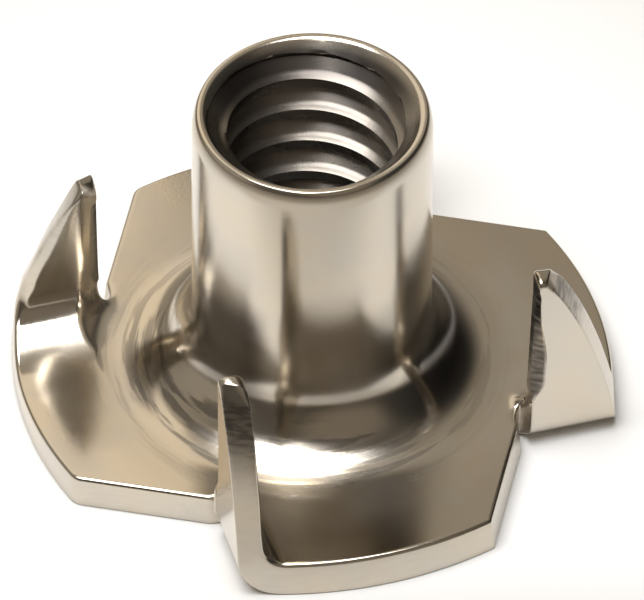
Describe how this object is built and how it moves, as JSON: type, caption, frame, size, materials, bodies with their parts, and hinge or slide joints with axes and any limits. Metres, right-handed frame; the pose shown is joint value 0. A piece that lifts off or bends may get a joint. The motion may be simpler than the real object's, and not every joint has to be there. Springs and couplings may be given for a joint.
{
  "type": "tee nut",
  "caption": "Stamped steel tee nut: an internally threaded barrel drawn up from a lobed flange whose upturned prongs bite into wood and keep it from turning.",
  "frame": {"origin": "on the thread's axis, in the plane of the flange's underside", "axes": "+Z along the barrel, from the flange's underside towards the mouth that the screw enters; the prongs' fold lines run parallel to X and Y"},
  "size_m": [0.0178, 0.0178, 0.0111],
  "materials": {
    "plated_steel": "bright zinc plating over stamped steel, lightly scuffed by the tools"
  },
  "bodies": {
    "root": {"tee_nut": "plated_steel"}
  },
  "joints": []
}
